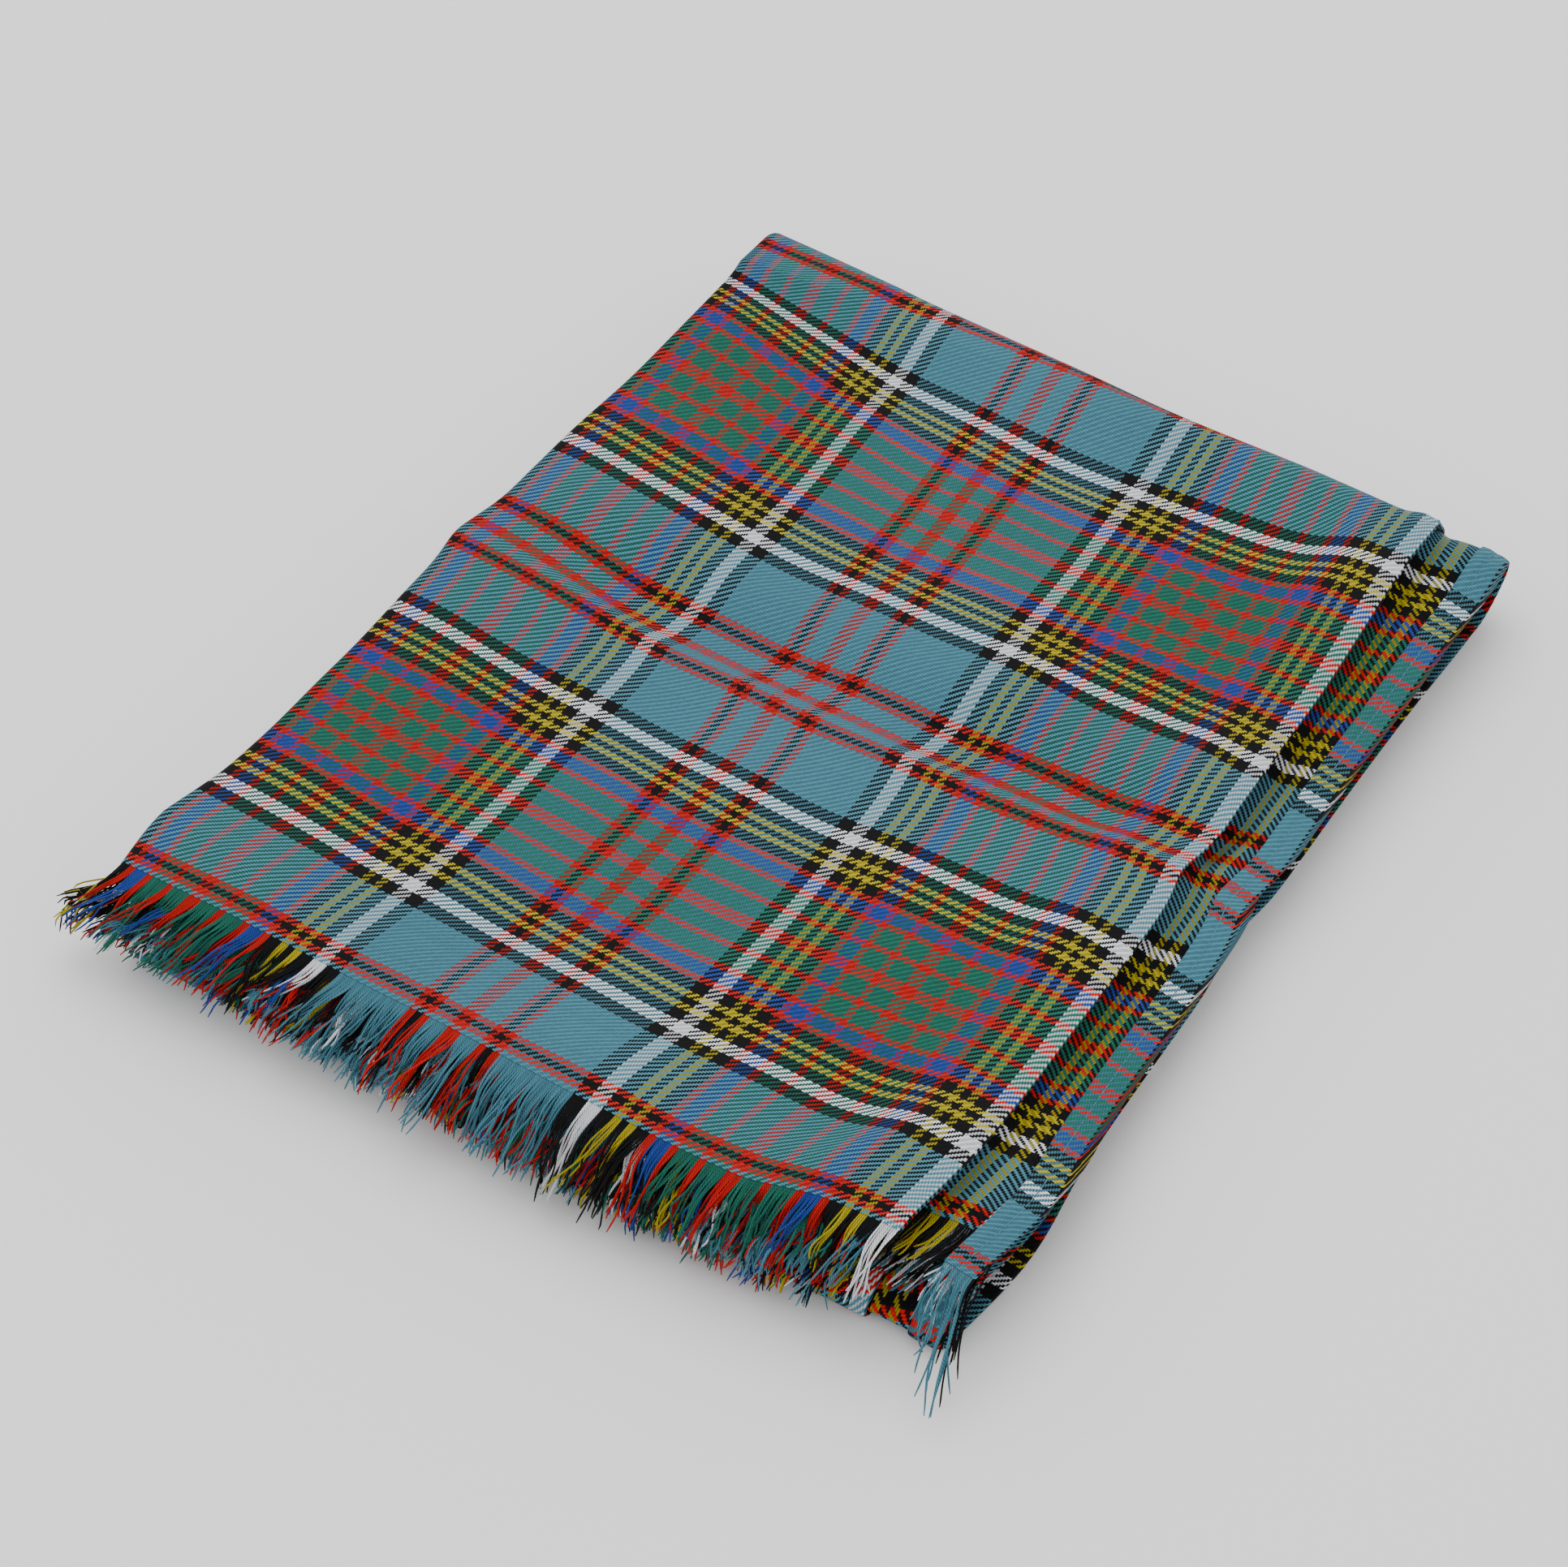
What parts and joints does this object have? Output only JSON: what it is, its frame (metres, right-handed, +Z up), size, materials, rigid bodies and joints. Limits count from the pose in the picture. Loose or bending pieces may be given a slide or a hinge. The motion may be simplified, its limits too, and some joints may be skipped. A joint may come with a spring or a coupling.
{
  "type": "folded throw blanket",
  "caption": "Woven plaid throw blanket with a fringed end and hemmed sides, folded into a flat stack whose last fold opens like a book.",
  "frame": {"origin": "middle of the folded stack's underside, on the surface it lies on", "axes": "+Z up; +X across the stack towards the side with the hems; +Y towards the last fold, so the fringes are at -Y"},
  "size_m": [0.392, 0.5321, 0.0384],
  "materials": {
    "woven_cloth": "2/2 twill wool, multi-colour plaid, matt with a soft nap",
    "hem_thread": "spun sewing thread",
    "fringe_yarn": "twisted two-ply wool yarn in the colours of the warp"
  },
  "bodies": {
    "lower_half": {"bottom_section_cloth": "woven_cloth", "inner_bottom_section_cloth": "woven_cloth", "front_fold_cloth": "woven_cloth", "hem_thread_a_lower_half": "hem_thread", "hem_thread_d_lower_half": "hem_thread", "last_fold_outer_cloth": "woven_cloth", "last_fold_inner_cloth": "woven_cloth", "hem_thread_a_last_fold_outer": "hem_thread", "hem_thread_a_last_fold_inner": "hem_thread", "hem_thread_d_last_fold_outer": "hem_thread", "hem_thread_d_last_fold_inner": "hem_thread"},
    "upper_half": {"top_section_cloth": "woven_cloth", "inner_top_section_cloth": "woven_cloth", "hem_thread_a_top_section": "hem_thread", "hem_thread_a_inner_top_section": "hem_thread", "hem_thread_d_top_section": "hem_thread", "hem_thread_d_inner_top_section": "hem_thread", "fringe_top_end_panel_d": "fringe_yarn", "fringe_top_end_panel_a": "fringe_yarn", "fringe_top_end_panel_b": "fringe_yarn", "fringe_top_end_panel_c": "fringe_yarn", "fringe_inner_end_panel_d": "fringe_yarn", "fringe_inner_end_panel_a": "fringe_yarn", "fringe_inner_end_panel_b": "fringe_yarn", "fringe_inner_end_panel_c": "fringe_yarn"}
  },
  "joints": [
    {"name": "last_fold", "type": "hinge", "parent": "lower_half", "child": "upper_half", "pos_m": [0, 0.229, 0.0192], "axis": [-0.9976, 0.0698, 0], "range_deg": [0, 179], "deforming": ["last_fold_outer_cloth", "last_fold_inner_cloth", "hem_thread_a_last_fold_outer", "hem_thread_a_last_fold_inner", "hem_thread_d_last_fold_outer", "hem_thread_d_last_fold_inner"]}
  ]
}
